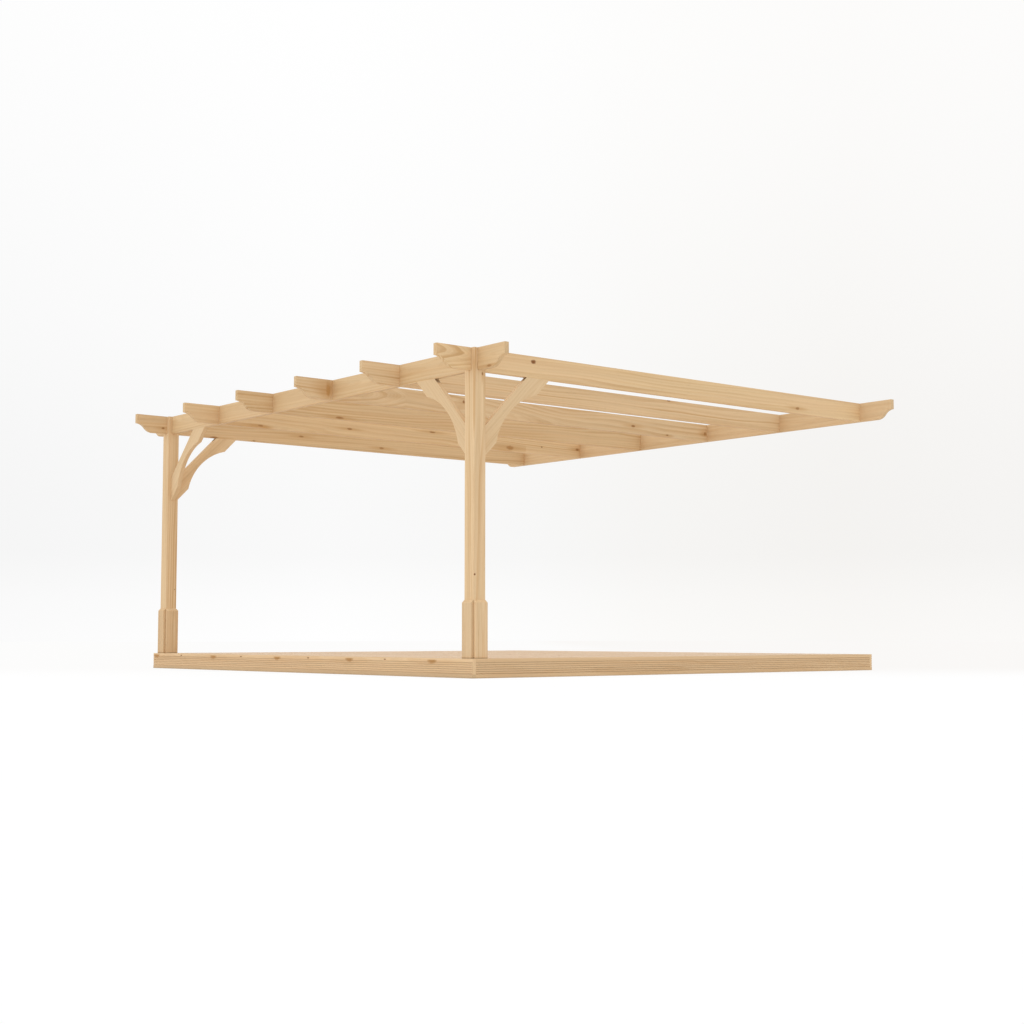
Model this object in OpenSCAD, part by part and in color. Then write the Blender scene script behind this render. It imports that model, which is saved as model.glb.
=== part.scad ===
// Wall-mounted timber pergola on a low deck.
// Two front posts carry a beam, and six rafters run from the beam back to a
// plate that is fixed to a wall. +X runs along the beam, +Y points to the
// wall and +Z is up. The origin is on the ground, under the middle of the
// roof. All sizes are in millimetres.

/* [Roof] */
// Length of the front beam and of the wall plate, tip to tip
beam_length = 4800; // [4200:50:5400]
// Length of a rafter, from its front tip to the wall
rafter_length = 4200; // [3600:50:4800]
// Distance from the middle of a post to a tip of the beam or of a rafter
overhang = 320; // [270:5:400]
// Height of the top of the frame above the ground
frame_height = 2100; // [1900:25:2400]

/* [Timber] */
// Depth of the beam, plate and rafters
timber_depth = 145; // [125:5:170]
// Thickness of the beam, plate, rafters and braces
timber_thickness = 34; // [28:1:45]
// Width of a square post
post_size = 95; // [90:1:110]

/* [Tails] */
// Length of the shaped end of a timber
tail_length = 146; // [120:2:180]
// Height of the plain upright end above the shaping
tail_end = 75; // [60:1:85]

/* [Braces] */
// Distance from the inner corner to the brace's upper edge, along the post
brace_reach = 368; // [300:4:420]
// Depth of a brace between its straight edges
brace_depth = 138; // [125:1:150]
// Straight length left on the lower edge at each end of a brace
brace_shoulder = 158; // [120:2:180]
// Depth of the curve cut into the lower edge
brace_curve = 70; // [50:1:90]

/* [Post sleeves] */
// Height of the boards around the foot of a post
sleeve_height = 370; // [250:5:500]
// Thickness of the boards around the foot of a post
sleeve_thickness = 20; // [16:1:26]
// Height of the sloping top of a sleeve board
sleeve_slope = 19; // [12:1:30]

/* [Deck] */
// Thickness of the deck floor
floor_thickness = 28; // [22:1:32]
// Distance from the outer face of a post to the deck's edge
deck_margin = 37; // [34:1:45]
// Height of the joists and of the rim under the floor
joist_height = 95; // [80:1:120]
// Thickness of a joist and of the rim that closes the joists in
joist_thickness = 45; // [38:1:50]
// Number of joists between the two side rims
joist_count = 9; // [7:1:11]
// Thickness of the grooved boards that face the deck's edge
fascia_thickness = 28; // [22:1:32]
// Number of grooves along a fascia board
groove_count = 6; // [4:1:6]
// Distance from the middle of one groove to the next
groove_pitch = 13.8; // [11:0.2:15]
// Height of the grooves' middle above the middle of the board
groove_rise = 1; // [0:0.5:8]
// Width of a groove at the face of the board
groove_width = 7; // [5:0.5:9]
// Depth of a groove
groove_depth = 3; // [1.5:0.5:4]
// Space left between the deck's back edge and the wall
wall_gap = 25; // [5:5:50]

/* [Hidden] */

$fn = 96;
LEFT = -1;
RIGHT = 1;
FRAME_COLOUR = "#d9b88c";
SLEEVE_COLOUR = "#d6b285";
FASCIA_COLOUR = "#d2ad7d";
FLOOR_COLOUR = "#dcc3a6";
JOIST_COLOUR = "#c9a678";

rafter_gaps = 5;
wall_y = rafter_length / 2;
front_tip_y = -rafter_length / 2;
post_x = beam_length / 2 - overhang;
post_y = front_tip_y + overhang;
rafter_spacing = 2 * post_x / rafter_gaps;
plate_y = wall_y - timber_thickness / 2;
timber_bottom = frame_height - timber_depth;
half_lap = timber_depth / 2;

// The shaped end is a hollow curve that runs smoothly into a round one of the
// same radius, and each curve is drawn in this many straight steps.
tail_steps = 12;
tail_run = tail_length / 2;
tail_rise = (timber_depth - tail_end) / 2;
tail_radius = (tail_run * tail_run + tail_rise * tail_rise) / (2 * tail_rise);
tail_angle = 2 * atan(tail_rise / tail_run);

// A brace stands at forty-five degrees, in the middle of the timber above it.
diagonal = sqrt(2);
brace_outer_reach = brace_reach + brace_depth * diagonal;
brace_half_chord = brace_outer_reach / diagonal - brace_shoulder;
brace_radius = (brace_half_chord * brace_half_chord + brace_curve * brace_curve) / (2 * brace_curve);
brace_centre = brace_outer_reach / 2 + (brace_radius - brace_curve) / diagonal;

deck_height = joist_height + floor_thickness;
deck_inset = post_size / 2 + deck_margin;
deck_side_x = post_x + deck_inset;
deck_front_y = post_y - deck_inset;
deck_back_y = wall_y - wall_gap;
floor_side_x = deck_side_x - fascia_thickness;
floor_front_y = deck_front_y + fascia_thickness;
floor_back_y = deck_back_y - fascia_thickness;
floor_depth = floor_back_y - floor_front_y;
frame_side_x = floor_side_x - joist_thickness;
frame_front_y = floor_front_y + joist_thickness;
frame_back_y = floor_back_y - joist_thickness;
frame_depth = frame_back_y - frame_front_y;
joist_spacing = 2 * frame_side_x / (joist_count + 1);

// The floor of a groove is narrower than its mouth.
groove_floor_width = 0.6 * groove_width;
lowest_groove = deck_height / 2 + groove_rise - (groove_count - 1) / 2 * groove_pitch;

// Cutters reach this far past the faces that they cut.
cut_past = 10;

function rafter_x(number) = -post_x + (number - 1) * rafter_spacing;

// A box between two opposite corners
module block(low, high) {
  translate(low)
    cube(high - low);
}

// Points along the underside of one shaped end, from its tip inwards
function tail_points() = concat(
  [
    for (step = [0 : tail_steps])
      let (angle = tail_angle * step / tail_steps)
        [tail_radius * sin(angle), -tail_end - tail_radius * (1 - cos(angle))]
  ],
  [
    for (step = [1 : tail_steps])
      let (angle = tail_angle * (1 - step / tail_steps))
        [tail_length - tail_radius * sin(angle), -timber_depth + tail_radius * (1 - cos(angle))]
  ]
);

function flipped_tail_points(length) = [
  for (index = [2 * tail_steps : -1 : 0])
    let (point = tail_points()[index])
      [length - point.x, point.y]
];

// Side view of a whole timber that starts at its shaped end
module timber_profile(length, both_ends) {
  far_end = both_ends ? flipped_tail_points(length) : [[length, -timber_depth]];
  polygon(concat([[0, 0]], tail_points(), far_end, [[length, 0]]));
}

// A timber along X, middle at zero, with a shaped end on each side
module cross_timber(y) {
  translate([-beam_length / 2, y + timber_thickness / 2, frame_height])
    rotate([90, 0, 0])
      linear_extrude(timber_thickness)
        timber_profile(beam_length, true);
}

// Upper half of the beam or plate, cut away where each rafter crosses
module rafter_notches(y) {
  for (number = [1 : rafter_gaps + 1]) {
    x = rafter_x(number);
    block(
      [x - timber_thickness / 2, y - timber_thickness / 2 - cut_past, frame_height - half_lap],
      [x + timber_thickness / 2, y + timber_thickness / 2 + cut_past, frame_height + cut_past]
    );
  }
}

module front_beam() {
  color(FRAME_COLOUR)
    difference() {
      cross_timber(post_y);
      rafter_notches(post_y);
    }
}

module wall_plate() {
  color(FRAME_COLOUR)
    difference() {
      cross_timber(plate_y);
      rafter_notches(plate_y);
    }
}

// A rafter with its lower half cut away at the beam and at the wall plate
module rafter(number) {
  x = rafter_x(number);
  side = timber_thickness / 2 + cut_past;
  color(FRAME_COLOUR)
    difference() {
      translate([x - timber_thickness / 2, front_tip_y, frame_height])
        rotate([90, 0, 90])
          linear_extrude(timber_thickness)
            timber_profile(rafter_length, false);
      block(
        [x - side, post_y - timber_thickness / 2, timber_bottom - cut_past],
        [x + side, post_y + timber_thickness / 2, frame_height - half_lap]
      );
      block(
        [x - side, wall_y - timber_thickness, timber_bottom - cut_past],
        [x + side, wall_y + cut_past, frame_height - half_lap]
      );
    }
}

// A post with a cross-shaped slot in its head for the beam and the end rafter
module post(side) {
  half_post = post_size / 2;
  half_slot = timber_thickness / 2;
  color(FRAME_COLOUR)
    translate([side * post_x, post_y, 0])
      difference() {
        block([-half_post, -half_post, 0], [half_post, half_post, frame_height]);
        block(
          [-half_post - cut_past, -half_slot, timber_bottom],
          [half_post + cut_past, half_slot, frame_height + cut_past]
        );
        block(
          [-half_slot, -half_post - cut_past, timber_bottom],
          [half_slot, half_post + cut_past, frame_height + cut_past]
        );
      }
}

// Side view of a brace: the post is the upright axis and the timber above is the level one
module brace_profile() {
  difference() {
    polygon([
      [0, -brace_reach],
      [0, -brace_outer_reach],
      [brace_outer_reach, 0],
      [brace_reach, 0]
    ]);
    translate([brace_centre, -brace_centre])
      circle(brace_radius);
  }
}

module brace_solid() {
  rotate([90, 0, 0])
    linear_extrude(timber_thickness, center = true)
      brace_profile();
}

module beam_brace(side) {
  color(FRAME_COLOUR)
    translate([side * (post_x - post_size / 2), post_y, timber_bottom])
      rotate([0, 0, side == LEFT ? 0 : 180])
        brace_solid();
}

module rafter_brace(side) {
  color(FRAME_COLOUR)
    translate([side * post_x, post_y + post_size / 2, timber_bottom])
      rotate([0, 0, 90])
        brace_solid();
}

// One board of a sleeve, as wide as the post, turned to face one way
module sleeve_board(side, turn) {
  color(SLEEVE_COLOUR)
    translate([side * post_x, post_y, deck_height])
      rotate([90, 0, turn])
        translate([post_size / 2, 0, 0])
          linear_extrude(post_size, center = true)
            polygon([
              [0, 0],
              [sleeve_thickness, 0],
              [sleeve_thickness, sleeve_height - sleeve_slope],
              [0, sleeve_height]
            ]);
}

module deck_floor() {
  half_post = post_size / 2;
  color(FLOOR_COLOUR)
    difference() {
      block(
        [-floor_side_x, floor_front_y, joist_height],
        [floor_side_x, floor_back_y, deck_height]
      );
      for (side = [LEFT, RIGHT])
        translate([side * post_x, post_y, 0])
          block([-half_post, -half_post, 0], [half_post, half_post, deck_height + cut_past]);
    }
}

// Corners of one groove in a board's face, from its lower lip to its upper lip
function groove_points(number) =
  let (middle = lowest_groove + number * groove_pitch)
  [
    [0, middle - groove_width / 2],
    [groove_depth, middle - groove_floor_width / 2],
    [groove_depth, middle + groove_floor_width / 2],
    [0, middle + groove_width / 2]
  ];

// A grooved board on edge along X, with its face towards -Y
module fascia_board(length) {
  grooves = [for (number = [0 : groove_count - 1]) each groove_points(number)];
  rotate([90, 0, 90])
    linear_extrude(length)
      polygon(concat(
        [[fascia_thickness, 0], [0, 0]],
        grooves,
        [[0, deck_height], [fascia_thickness, deck_height]]
      ));
}

// The front and back boards run through to the corners and show their ends.
module front_fascia() {
  color(FASCIA_COLOUR)
    translate([-deck_side_x, deck_front_y, 0])
      fascia_board(2 * deck_side_x);
}

module back_fascia() {
  color(FASCIA_COLOUR)
    translate([deck_side_x, deck_back_y, 0])
      rotate([0, 0, 180])
        fascia_board(2 * deck_side_x);
}

module side_fascia(side) {
  color(FASCIA_COLOUR)
    translate([side * deck_side_x, side == RIGHT ? floor_front_y : floor_back_y, 0])
      rotate([0, 0, side * 90])
        fascia_board(floor_depth);
}

// The front rim fits between the posts, and the side rims start behind them.
module front_rim() {
  half_length = post_x - post_size / 2;
  color(JOIST_COLOUR)
    block([-half_length, floor_front_y, 0], [half_length, frame_front_y, joist_height]);
}

module back_rim() {
  color(JOIST_COLOUR)
    block([-floor_side_x, frame_back_y, 0], [floor_side_x, floor_back_y, joist_height]);
}

module side_rim(side) {
  middle_x = side * (floor_side_x - joist_thickness / 2);
  color(JOIST_COLOUR)
    block(
      [middle_x - joist_thickness / 2, post_y + post_size / 2, 0],
      [middle_x + joist_thickness / 2, frame_back_y, joist_height]
    );
}

module deck_joists() {
  color(JOIST_COLOUR)
    for (number = [1 : joist_count])
      translate([-frame_side_x + number * joist_spacing - joist_thickness / 2, frame_front_y, 0])
        cube([joist_thickness, frame_depth, joist_height]);
}

post(LEFT);  // left_post
post(RIGHT);  // right_post
front_beam();
wall_plate();
rafter(1);  // rafter_1
rafter(2);  // rafter_2
rafter(3);  // rafter_3
rafter(4);  // rafter_4
rafter(5);  // rafter_5
rafter(6);  // rafter_6
beam_brace(LEFT);  // left_beam_brace
beam_brace(RIGHT);  // right_beam_brace
rafter_brace(LEFT);  // left_rafter_brace
rafter_brace(RIGHT);  // right_rafter_brace
sleeve_board(LEFT, -90);  // left_sleeve_front
sleeve_board(LEFT, 90);  // left_sleeve_back
sleeve_board(LEFT, 0);  // left_sleeve_inner
sleeve_board(LEFT, 180);  // left_sleeve_outer
sleeve_board(RIGHT, -90);  // right_sleeve_front
sleeve_board(RIGHT, 90);  // right_sleeve_back
sleeve_board(RIGHT, 180);  // right_sleeve_inner
sleeve_board(RIGHT, 0);  // right_sleeve_outer
deck_floor();
front_fascia();
back_fascia();
side_fascia(LEFT);  // left_fascia
side_fascia(RIGHT);  // right_fascia
front_rim();
back_rim();
side_rim(LEFT);  // left_rim
side_rim(RIGHT);  // right_rim
deck_joists();
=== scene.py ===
"""Looks of a wall-mounted timber pergola on a low deck: planed pine, grooved boards and their screws."""

import math
import random

import bmesh
import bpy
import numpy as np
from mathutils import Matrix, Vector


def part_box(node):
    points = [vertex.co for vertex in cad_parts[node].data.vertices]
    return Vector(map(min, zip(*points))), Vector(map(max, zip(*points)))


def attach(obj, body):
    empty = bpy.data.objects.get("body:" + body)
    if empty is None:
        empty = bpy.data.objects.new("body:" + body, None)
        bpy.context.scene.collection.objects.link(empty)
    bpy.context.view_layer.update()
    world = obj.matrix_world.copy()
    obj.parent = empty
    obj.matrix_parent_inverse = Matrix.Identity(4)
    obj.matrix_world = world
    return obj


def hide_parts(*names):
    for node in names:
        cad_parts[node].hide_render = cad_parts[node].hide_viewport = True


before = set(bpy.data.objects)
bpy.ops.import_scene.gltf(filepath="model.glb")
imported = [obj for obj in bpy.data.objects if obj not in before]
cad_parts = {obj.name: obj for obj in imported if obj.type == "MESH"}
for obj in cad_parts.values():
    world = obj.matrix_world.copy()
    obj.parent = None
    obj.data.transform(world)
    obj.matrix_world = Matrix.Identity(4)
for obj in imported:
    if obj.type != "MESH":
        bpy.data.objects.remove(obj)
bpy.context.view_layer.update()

# Names and directions
BODY = "root"
ALONG_X = Vector((1, 0, 0))
ALONG_Y = Vector((0, 1, 0))
ALONG_Z = Vector((0, 0, 1))
SIDES = ("left", "right")
WHITE = (1.0, 1.0, 1.0, 1)

# Arrises and grooves of the timbers, in metres
PLANED_ARRIS = 0.003
SAWN_ARRIS = 0.002
GROOVED_ARRIS = 0.0008
CUT_EDGE_SHARE = 0.35
ARRIS_STEPS = 3
SHARP_ANGLE = math.radians(20)
FLAT_ANGLE = math.radians(0.4)
MERGE_DISTANCE = 1e-6
SHALLOWEST_GROOVE = 0.0006
DEEPEST_GROOVE = 0.006

# How closely a face or an edge has to follow a direction to count as turned that way
FACING = 0.9
LENGTHWAYS = 0.99
GROOVE_FACING = 0.2

# End grain shows as a face turns towards the end of its timber, and each timber has its own tint
END_GRAIN_START = 0.35
END_GRAIN_RANGE = 0.5
TINT_SPREAD = 0.03

# How long a knot is for its width
KNOT_LENGTH = 1.7
OVAL_KNOT_LENGTH = 2.2
LONG_KNOT_LENGTH = 3.0
TAIL_KNOT_LENGTH = 4.0
TALL_KNOT_LENGTH = 0.9
SPIKE_KNOT_LENGTH = 0.4

# Seeded knots: their distance from the pith and from each other, and the spread of what they draw
KNOT_REACH = 0.055
KNOT_SPACE = 0.16
FIRST_KNOT = (0.3, 1.0)
KNOT_STEPS = (0.45, 1.6)
KNOT_TURNS = (-1.1, 1.1)
KNOT_SIZES = (0.35, 1.2)
KNOT_SHADES = (0.3, 1.0)

# Deck floor
BOARD_COUNT = 31
BOARD_WIDTH = 0.120
BOARD_GROOVES = 7
BOARD_GROOVE_PITCH = 0.015
BOARD_GROOVE_WIDTH = 0.0075
BOARD_GROOVE_FLOOR = 0.0045
BOARD_GROOVE_DEPTH = 0.0025
BOARD_ARRIS = 0.003
BOARD_ARRIS_BULGE = 0.3 * BOARD_ARRIS
BOARD_SECTIONS = 10
POST_CLEARANCE = 0.001
POST_HOLE_HEIGHT = 0.1
SCREW_HEAD = 0.0085
SCREW_SUNK = 0.0006
SCREW_EDGE = 0.0225
SCREW_SIDES = 12
SCREW_DRIVE_SHARE = 0.5
SCREW_DRIVE_DEPTH = -0.0016
SCREW_FROM_POST = 0.03
SCREW_FROM_SLEEVE = 0.01

# Kinds of socket
FLOAT = "NodeSocketFloat"
WHOLE = "NodeSocketInt"
VECTOR = "NodeSocketVector"
COLOUR = "NodeSocketColor"
GEOMETRY = "NodeSocketGeometry"
MATERIAL = "NodeSocketMaterial"


# Node helpers


def feed(tree, socket, value):
    """Link a socket to another one, or set its own value."""
    if isinstance(value, bpy.types.NodeSocket):
        tree.links.new(value, socket)
    else:
        socket.default_value = value


def add_node(tree, kind, sockets=None, **settings):
    """A new node with its settings, and with what feeds its sockets by name or number."""
    node = tree.nodes.new(kind)
    for name, value in settings.items():
        setattr(node, name, value)
    for label, value in (sockets or {}).items():
        feed(tree, node.inputs[label], value)
    return node


def calc(tree, operation, *values):
    return add_node(tree, "ShaderNodeMath", dict(enumerate(values)), operation=operation).outputs[0]


def times(tree, first, second):
    return calc(tree, "MULTIPLY", first, second)


def over(tree, first, second):
    return calc(tree, "DIVIDE", first, second)


def minus(tree, first, second):
    return calc(tree, "SUBTRACT", first, second)


def add_up(tree, start, *parts):
    """The start and each part's value times its strength."""
    for value, strength in parts:
        start = calc(tree, "MULTIPLY_ADD", value, strength, start)
    return start


def diagonal(tree, first, second):
    """How long the slant is that runs one distance one way and another distance square to it."""
    return calc(tree, "SQRT", add_up(tree, times(tree, second, second), (first, first)))


def vector_calc(tree, operation, *values):
    return add_node(tree, "ShaderNodeVectorMath", dict(enumerate(values)), operation=operation).outputs[0]


def distance_along(tree, vector, direction):
    node = add_node(tree, "ShaderNodeVectorMath", {0: vector, 1: direction}, operation="DOT_PRODUCT")
    return node.outputs["Value"]


def split(tree, vector):
    return tuple(add_node(tree, "ShaderNodeSeparateXYZ", {0: vector}).outputs)


def join(tree, x, y, z):
    return add_node(tree, "ShaderNodeCombineXYZ", {0: x, 1: y, 2: z}).outputs[0]


def ramp(tree, value, start, end, low=0.0, high=1.0):
    """Smooth step from low at start to high at end."""
    sockets = dict(enumerate((value, start, end, low, high)))
    return add_node(tree, "ShaderNodeMapRange", sockets, interpolation_type="SMOOTHSTEP").outputs[0]


def hump(tree, value, rise, fall):
    """A smooth step up over one span of the value, and down again over another."""
    return times(tree, ramp(tree, value, *rise), ramp(tree, value, *fall))


def blend(tree, share, first, second):
    sockets = {"Factor": share, 6: first, 7: second}
    return add_node(tree, "ShaderNodeMix", sockets, data_type="RGBA").outputs[2]


def noise(tree, vector, along, across, detail=2.0):
    """Noise from -1 to 1 with its own scale along and across the grain."""
    stretched = vector_calc(tree, "MULTIPLY", vector, (along, across, across))
    node = add_node(tree, "ShaderNodeTexNoise", {"Vector": stretched, "Scale": 1.0, "Detail": detail})
    return add_up(tree, -1.0, (node.outputs[0], 2.0))


def chance(tree, first, second):
    """A steady random number for a pair of whole numbers."""
    pair = join(tree, first, second, 0.0)
    node = add_node(tree, "ShaderNodeTexWhiteNoise", {"Vector": pair}, noise_dimensions="2D")
    return node.outputs["Value"]


def attribute(tree, name):
    return add_node(tree, "ShaderNodeAttribute", attribute_name=name).outputs


def new_group(name, kind, inputs, outputs):
    group = bpy.data.node_groups.new(name, kind)
    for label, socket_type, *value in inputs:
        socket = group.interface.new_socket(label, in_out="INPUT", socket_type=socket_type)
        if value:
            socket.default_value = value[0]
    for label, socket_type in outputs:
        group.interface.new_socket(label, in_out="OUTPUT", socket_type=socket_type)
    entry = group.nodes.new("NodeGroupInput")
    leave = group.nodes.new("NodeGroupOutput")
    return group, entry.outputs, leave.inputs


def new_material(name):
    material = bpy.data.materials.new(name)
    material.use_nodes = True
    return material, material.node_tree, material.node_tree.nodes["Principled BSDF"]


# Wood

# Knots: their least sizes in metres, their uneven edge, the grain that bends round them and their halo
SHORTEST_REACH = 0.001
SMALLEST_KNOT = 0.00001
KNOT_WOBBLE = 0.3
FLOW_FALL = -0.22
HALO_STRETCH = 3.5
HALO_FADE = (2.6, 0.3)
KNOT_CORE = (1.25, 0.50)
KNOT_RINGS = 3.0
KNOT_RING_SHADE = 0.2
KNOT_RIM_SHADE = 0.5
LIVE_SHADES = (0.95, 0.40)

# How far apart in the log two timbers lie, along it and across it
LOG_STEP_ALONG = 11.3
LOG_STEP_ACROSS = 0.37

# Growth rings: how far they stray in metres, their years, their fading and the fine rings between them
RING_WANDER = 0.040
RING_RIPPLE = 0.008
RING_TAPER = 0.006
PALEST_YEAR = 0.25
YEAR_SPREAD = 0.75
RING_FADE = (-0.45, 0.25, 0.25, 1.0)
FINE_RINGS = 4.0
FINE_RING_SHARE = 0.14

# Where resin ducts, bands, blush, and the rubbed arrises with their painted highlight show
DUCT_RANGE = (0.42, 0.62)
BAND_RANGE = (-0.05, 0.55)
BLUSH_RANGE = (-0.1, 0.7, 0.0, 0.6)
WORN_AND_HIGHLIT_RANGE = (-0.5, 0.5)

# What makes the wood brighter or darker
DRIFT_GAIN = 0.04
DUCT_GAIN = -0.10
PAINTED_SHADING_GAIN = -0.35
WORN_AND_HIGHLIT_GAIN = 0.07

# Roughness and bump
PINE_ROUGHNESS = 0.62
FIBRE_ROUGHNESS = 0.05
LATE_ROUGHNESS = -0.10
KNOT_ROUGHNESS = -0.14
END_ROUGHNESS = 0.14
FIBRE_RISE = 0.22
LATE_RISE = 0.5
FINE_RISE = 0.12
DUCT_RISE = -0.35
KNOT_RIM_RISE = -0.7
BUMP_STRENGTH = 0.5
BUMP_HEIGHT = 0.0005
DULL_GLOSS = 0.15
SATIN_GLOSS = 0.5


def make_knot_group():
    """A branch that runs out from the pith as a cone, and the grain that flows round it."""
    tree, given, result = new_group(
        "knot",
        "ShaderNodeTree",
        [
            ("Grain", VECTOR),
            ("Knot", VECTOR),
            ("Radius", FLOAT, 0.0),
            ("Length", FLOAT, KNOT_LENGTH),
        ],
        [("Bent Grain", VECTOR), ("Nearness", FLOAT), ("Halo", FLOAT)],
    )
    along, across, deep = split(tree, given["Grain"])
    knot_along, knot_across, knot_deep = split(tree, given["Knot"])
    reach = calc(tree, "MAXIMUM", diagonal(tree, knot_across, knot_deep), SHORTEST_REACH)
    turn_across = over(tree, knot_across, reach)
    turn_deep = over(tree, knot_deep, reach)
    out_from_pith = add_up(tree, times(tree, across, turn_across), (deep, turn_deep))
    sideways = minus(tree, times(tree, across, turn_deep), times(tree, deep, turn_across))
    lengthways = over(tree, minus(tree, along, knot_along), given["Length"])
    growth = calc(tree, "MAXIMUM", over(tree, out_from_pith, reach), 0.0)
    size = calc(tree, "MAXIMUM", times(tree, given["Radius"], growth), SMALLEST_KNOT)
    wobble = noise(tree, given["Grain"], along=55.0, across=80.0, detail=1.0)
    uneven = add_up(tree, 1.0, (wobble, KNOT_WOBBLE))
    distance = times(tree, diagonal(tree, sideways, lengthways), uneven)
    ratio = over(tree, distance, size)
    flow = calc(tree, "EXPONENT", times(tree, times(tree, ratio, ratio), FLOW_FALL))
    soft_side = over(tree, sideways, diagonal(tree, sideways, size))
    push = times(tree, times(tree, size, flow), soft_side)
    bent_across = minus(tree, across, times(tree, push, turn_deep))
    bent_deep = add_up(tree, deep, (push, turn_across))
    feed(tree, result["Bent Grain"], join(tree, along, bent_across, bent_deep))
    feed(tree, result["Nearness"], ratio)
    trail = over(tree, lengthways, HALO_STRETCH)
    trail_ratio = over(tree, diagonal(tree, sideways, trail), size)
    feed(tree, result["Halo"], ramp(tree, trail_ratio, *HALO_FADE))
    return tree


def make_pine_group(knot_group):
    """Planed pine: growth rings round the pith, streaks, fibres, ducts, knots, end grain, rubbed arrises
    with a painted highlight, painted shade and grime in grooves, and painted strips of light and shade.
    """
    tree, given, result = new_group(
        "planed_pine",
        "ShaderNodeTree",
        [
            ("Early Wood", COLOUR, (0.79, 0.575, 0.340, 1)),
            ("Late Wood", COLOUR, (0.55, 0.300, 0.110, 1)),
            ("Blush", COLOUR, (0.74, 0.510, 0.300, 1)),
            ("Knot Wood", COLOUR, (0.24, 0.090, 0.030, 1)),
            ("Ring Width", FLOAT, 0.018),
            ("Ring Strength", FLOAT, 0.75),
            ("Streak Strength", FLOAT, 0.12),
            ("Band Strength", FLOAT, 0.35),
            ("Fibre Strength", FLOAT, 0.05),
            ("Halo Strength", FLOAT, 0.55),
            ("Groove Shade", FLOAT, 0.08),
            ("End Shade", FLOAT, 0.05),
        ],
        [("Color", COLOUR), ("Roughness", FLOAT), ("Height", FLOAT)],
    )
    timber = attribute(tree, "timber")
    seed, tint, end_grain = split(tree, timber["Vector"])
    arris = timber["Alpha"]
    knot_place = attribute(tree, "knot")
    marks = attribute(tree, "marks")
    shade, hollow, painted_shading = split(tree, marks["Vector"])
    sockets = {
        "Grain": attribute(tree, "grain")["Vector"],
        "Knot": knot_place["Vector"],
        "Radius": knot_place["Alpha"],
        "Length": marks["Alpha"],
    }
    knot = add_node(tree, "ShaderNodeGroup", sockets, node_tree=knot_group)
    nearness = knot.outputs["Nearness"]
    core = ramp(tree, nearness, *KNOT_CORE)
    rim = hump(tree, nearness, rise=(0.55, 0.9), fall=(1.3, 1.0))

    # Every timber comes from another place in the log.
    log_place = join(tree, times(tree, seed, LOG_STEP_ALONG), times(tree, seed, LOG_STEP_ACROSS), 0.0)
    own_grain = vector_calc(tree, "ADD", knot.outputs["Bent Grain"], log_place)
    along, across, deep = split(tree, knot.outputs["Bent Grain"])

    wander = noise(tree, own_grain, along=0.55, across=4.0)
    ripple = noise(tree, own_grain, along=1.4, across=17.0)
    fade = noise(tree, own_grain, along=1.1, across=12.0)
    streak = noise(tree, own_grain, along=0.55, across=38.0, detail=3.0)
    fibre = noise(tree, own_grain, along=14.0, across=850.0, detail=1.0)
    drift = noise(tree, own_grain, along=0.7, across=6.0)
    band = noise(tree, own_grain, along=0.40, across=21.0, detail=4.0)
    wear_and_highlight_patches = noise(tree, own_grain, along=9.0, across=40.0)
    duct = ramp(tree, noise(tree, own_grain, along=26.0, across=420.0, detail=0.0), *DUCT_RANGE)

    from_pith = diagonal(tree, across, deep)
    from_pith = add_up(tree, from_pith, (wander, RING_WANDER), (ripple, RING_RIPPLE), (along, RING_TAPER))
    rings = over(tree, from_pith, given["Ring Width"])
    ring_number = calc(tree, "FLOOR", rings)
    ring_part = minus(tree, rings, ring_number)
    year = chance(tree, ring_number, seed)
    late = hump(tree, ring_part, rise=(0.20, 0.85), fall=(1.0, 0.88))
    late = times(tree, late, add_up(tree, PALEST_YEAR, (times(tree, year, year), YEAR_SPREAD)))
    late = times(tree, late, ramp(tree, fade, *RING_FADE))
    fine_part = calc(tree, "FRACT", times(tree, rings, FINE_RINGS))
    fine_late = hump(tree, fine_part, rise=(0.3, 0.9), fall=(1.0, 0.92))

    late_share = times(tree, late, given["Ring Strength"])
    fine_share = times(tree, fine_late, FINE_RING_SHARE)
    band_share = times(tree, ramp(tree, band, *BAND_RANGE), given["Band Strength"])
    colour = given["Early Wood"]
    for share in (late_share, fine_share, band_share):
        colour = blend(tree, share, colour, given["Late Wood"])
    colour = blend(tree, ramp(tree, drift, *BLUSH_RANGE), colour, given["Blush"])

    gain = calc(tree, "ADD", tint, 1.0)
    gain = add_up(tree, gain, (streak, given["Streak Strength"]), (fibre, given["Fibre Strength"]))
    gain = add_up(tree, gain, (drift, DRIFT_GAIN), (duct, DUCT_GAIN))
    gain = minus(tree, gain, times(tree, end_grain, given["End Shade"]))
    # Groove faces are painted darker: painted shade in the grooves, along with the grime that settles there
    gain = minus(tree, gain, times(tree, hollow, given["Groove Shade"]))
    # Rounded arrises are painted paler in patches: partly rubbed by use, partly a painted highlight along
    # the edges
    worn_and_highlit = times(tree, arris, ramp(tree, wear_and_highlight_patches, *WORN_AND_HIGHLIT_RANGE))
    # The strips darken or lighten faces as painted shade and painted light: at the bottoms of boards, under
    # the timbers the braces prop, and on the braces' upper faces
    gain = add_up(tree, gain, (painted_shading, PAINTED_SHADING_GAIN), (worn_and_highlit, WORN_AND_HIGHLIT_GAIN))
    scaled = add_node(tree, "ShaderNodeVectorMath", {0: colour, "Scale": gain}, operation="SCALE")

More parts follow.
